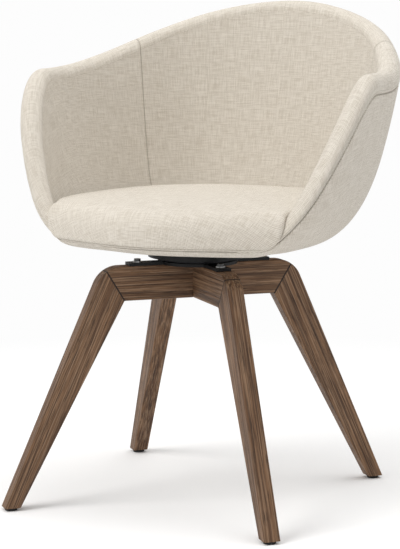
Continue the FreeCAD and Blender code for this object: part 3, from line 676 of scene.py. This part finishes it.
def wood(name, direction, offset, pale=None, mitres=()):
    """Oak, or a paler wood, with the grain along a direction and a dark line where a mitre shows."""
    made, tree, shader = new_material(name, 0.58)
    place = node(tree, "ShaderNodeTexCoord")
    mapping = node(tree, "ShaderNodeMapping", vector_type="POINT")
    turn = Vector(direction).to_track_quat("Z", "Y").inverted().to_euler()
    mapping.inputs["Rotation"].default_value = turn
    mapping.inputs["Location"].default_value = offset
    tree.links.new(place.outputs["Object"], mapping.inputs["Vector"])
    grain = node(tree, "ShaderNodeGroup", node_tree=oak_grain)
    tree.links.new(mapping.outputs[0], grain.inputs[0])
    colour = grain.outputs[0]
    if pale:
        colour = mix_colour(tree, PALE_SHARE, colour, pale)
    for angle in mitres:
        length = math.dist(MITRE_LOW, MITRE_HIGH)
        out = Vector((math.cos(angle), math.sin(angle), 0))
        rise = MITRE_HIGH[1] - MITRE_LOW[1]
        normal = (out * rise - Vector((0, 0, MITRE_HIGH[0] - MITRE_LOW[0]))) / length
        point = out * MITRE_LOW[0] + Vector((0, SWIVEL_Y, MITRE_LOW[1]))
        span = node(tree, "ShaderNodeVectorMath", operation="DOT_PRODUCT")
        tree.links.new(place.outputs["Object"], span.inputs[0])
        span.inputs[1].default_value = normal
        away = away_from(tree, span.outputs["Value"], normal.dot(point))
        colour = mix_colour(tree, ramp(tree, away, MITRE_LINE * 1.6, MITRE_LINE * 0.6), colour, MITRE_SHADE)
    tree.links.new(colour, shader.inputs["Base Color"])
    tree.links.new(math_node(tree, "MULTIPLY_ADD", grain.outputs[2], 0.16, 0.46), shader.inputs["Roughness"])
    shader.inputs["Specular IOR Level"].default_value = 0.3
    add_bump(tree, shader, grain.outputs[1], 0.0006, 0.6)
    return made


def finish(material, *names):
    """Gives solid pieces their finish."""
    for name in names:
        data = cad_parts[name].data
        data.materials.clear()
        data.materials.append(material)


def leg_turn(name):
    """The direction in which a leg stands, seen from the swivel."""
    low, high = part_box(name)
    middle = (low + high) / 2
    return math.atan2(middle.y - SWIVEL_Y, middle.x)


LEAN = math.radians(24)
LEGS = ("leg_front_right", "leg_rear_right", "leg_rear_left", "leg_front_left")
RAILS = {
    "rail_front_right_to_rear_left": "leg_front_right",
    "rail_rear_right_to_front_left": "leg_rear_right",
}
for number, name in enumerate(LEGS):
    turn = leg_turn(name)
    direction = (-math.sin(LEAN) * math.cos(turn), -math.sin(LEAN) * math.sin(turn), math.cos(LEAN))
    finish(wood("oak_" + name, direction, (0.7 * number, 0.3 * number, 0.4), mitres=[turn]), name)
for number, (name, corner) in enumerate(RAILS.items()):
    turn = leg_turn(corner)
    direction = (math.cos(turn), math.sin(turn), 0)
    finish(wood("oak_" + name, direction, (0.2, 0.9 * number, 2.0), mitres=[turn, turn + math.pi]), name)
beech = wood("beech", (1, 0, 0), (0, 0, 0), (0.62, 0.45, 0.29))
finish(beech, "mitre_tenons")

# Bottom board
# Birch plywood that closes the tub from below.
# The seat plate's bolts run into tee nuts driven through it.
birch = wood("birch_ply", (1, 0, 0.02), (1, 0, 0), (0.60, 0.45, 0.30))
finish(birch, "bottom_board")


# Steel of the swivel
# A pressed base plate screwed to the rails, two races with balls in a cage, and a round seat plate.
# The plates are powder coated, the races and the cage are blackened, and the bolts are zinc plated.
def coated(name, colour, rough, metal, scale, depth, specular=0.5):
    """A hard finish with a fine grain, a little uneven in tone and gloss."""
    made, tree, shader = new_material(name, rough, metal)
    place = node(tree, "ShaderNodeTexCoord")
    grain = noise_node(tree, place.outputs["Object"], scale, 3.0)
    wear = noise_node(tree, place.outputs["Object"], 38.0, 4.0)
    darker = tuple(channel * 0.75 for channel in colour)
    tree.links.new(mix_colour(tree, wear, darker, colour), shader.inputs["Base Color"])
    tree.links.new(math_node(tree, "MULTIPLY_ADD", wear, 0.18, rough - 0.09), shader.inputs["Roughness"])
    shader.inputs["Specular IOR Level"].default_value = specular
    add_bump(tree, shader, grain, depth, 0.4)
    return made


black_steel = coated("black_powder_coat", (0.0075, 0.0075, 0.0080), 0.5, 0.0, 1400.0, 0.0003, 0.25)
black_oxide = coated("black_oxide", (0.030, 0.030, 0.032), 0.42, 0.6, 1500.0, 0.0001)
zinc = coated("zinc_plate", (0.66, 0.66, 0.65), 0.30, 1.0, 2200.0, 0.0001)
dark_zinc = coated("dark_zinc", (0.10, 0.10, 0.10), 0.36, 1.0, 2200.0, 0.0001)
bearing = coated("oiled_steel", (0.44, 0.44, 0.45), 0.24, 1.0, 1500.0, 0.0001)
finish(black_steel, "base_plate", "seat_plate")
finish(black_oxide, "lower_race", "upper_race", "ball_cage")
finish(bearing, "bearing_balls", "spindle")
finish(dark_zinc, "base_bolts", "seat_bolts")
finish(zinc, "base_washers", "rail_inserts", "spindle_washer", "tee_nuts")

# Glides and moulded core
# Black nylon glides nailed under the legs, and the polypropylene tub that the foam is glued to.
# The solids that the cover and the cushion stand for get the plain cloth.
nylon = coated("black_nylon", (0.012, 0.012, 0.012), 0.62, 0.0, 1800.0, 0.0002, 0.35)
moulded = coated("moulded_core", (0.12, 0.12, 0.12), 0.55, 0.0, 900.0, 0.0003, 0.35)
finish(nylon, "glide_front_right", "glide_rear_right", "glide_rear_left", "glide_front_left")
finish(moulded, "shell_core")
finish(seat_cloth, "upholstery_cover", "seat_pad")

# Floor and light
# A wide pale floor that keeps the soft shadow near the chair and passes to plain white away from it.
# The room is white all round, with a large soft lamp at the front and another overhead.
FLOOR_REACH = 60
GLOW_FROM = 0.45
GLOW_FULL = 1.5
PAPER_WHITE = (0.982, 0.982, 0.982, 1)
bpy.ops.mesh.primitive_circle_add(vertices=96, radius=FLOOR_REACH, fill_type="NGON", location=(0, 0, 0))
floor = bpy.context.object
floor.name = "floor"
floor.select_set(False)
made, tree, shader = new_material("pale_floor", 0.9)
shader.inputs["Base Color"].default_value = (0.97, 0.97, 0.97, 1)
shader.inputs["Specular IOR Level"].default_value = 0.0
glow = node(tree, "ShaderNodeEmission")
glow.inputs["Color"].default_value = PAPER_WHITE
blend = node(tree, "ShaderNodeMixShader")
place = node(tree, "ShaderNodeTexCoord")
span = node(tree, "ShaderNodeVectorMath", operation="LENGTH")
tree.links.new(place.outputs["Object"], span.inputs[0])
tree.links.new(ramp(tree, span.outputs["Value"], GLOW_FROM, GLOW_FULL), blend.inputs[0])
tree.links.new(shader.outputs[0], blend.inputs[1])
tree.links.new(glow.outputs[0], blend.inputs[2])
tree.links.new(blend.outputs[0], tree.nodes["Material Output"].inputs["Surface"])
floor.data.materials.append(made)

world = bpy.data.worlds.new("room")
bpy.context.scene.world = world
world.use_nodes = True
tree = world.node_tree
room = tree.nodes["Background"]
room.inputs["Color"].default_value = (1, 1, 1, 1)
room.inputs["Strength"].default_value = 0.70
seen_room = node(tree, "ShaderNodeBackground")
seen_room.inputs["Color"].default_value = PAPER_WHITE
path = node(tree, "ShaderNodeLightPath")
mixed = node(tree, "ShaderNodeMixShader")
tree.links.new(path.outputs["Is Camera Ray"], mixed.inputs[0])
tree.links.new(room.outputs[0], mixed.inputs[1])
tree.links.new(seen_room.outputs[0], mixed.inputs[2])
tree.links.new(mixed.outputs[0], tree.nodes["World Output"].inputs["Surface"])

LAMPS_AIM = Vector((0, 0, 0.5))


def softbox(name, place, size, power, tint):
    data = bpy.data.lights.new(name, "AREA")
    data.shape = "DISK"
    data.size = size
    data.energy = power
    data.color = tint
    item = bpy.data.objects.new(name, data)
    item.location = place
    item.rotation_euler = (LAMPS_AIM - Vector(place)).to_track_quat("-Z", "Y").to_euler()
    bpy.context.collection.objects.link(item)


softbox("key", (-1.6, -2.2, 3.2), 2.2, 72, (1.0, 0.99, 0.975))
softbox("top", (0.5, 0.6, 3.6), 2.6, 46, (1.0, 1.0, 1.0))

# Camera
# Stands at the front, towards the sitter's left, about as high as the back.
# It looks slightly down at the chair through a long lens.
PITCH = math.radians(8.03)
YAW = math.radians(25.235)
data = bpy.data.cameras.new("camera")
data.sensor_fit = "VERTICAL"
data.sensor_height = 36
data.lens = 124.59
data.shift_x = 0.0037
data.shift_y = 0.0024
data.dof.use_dof = False
camera = bpy.data.objects.new("camera", data)
camera.location = (1.3361, -2.9114, 0.813)
camera.rotation_euler = (math.pi / 2 - PITCH, 0, YAW)
bpy.context.collection.objects.link(camera)
bpy.context.scene.camera = camera
bpy.context.scene.view_settings.view_transform = "Standard"
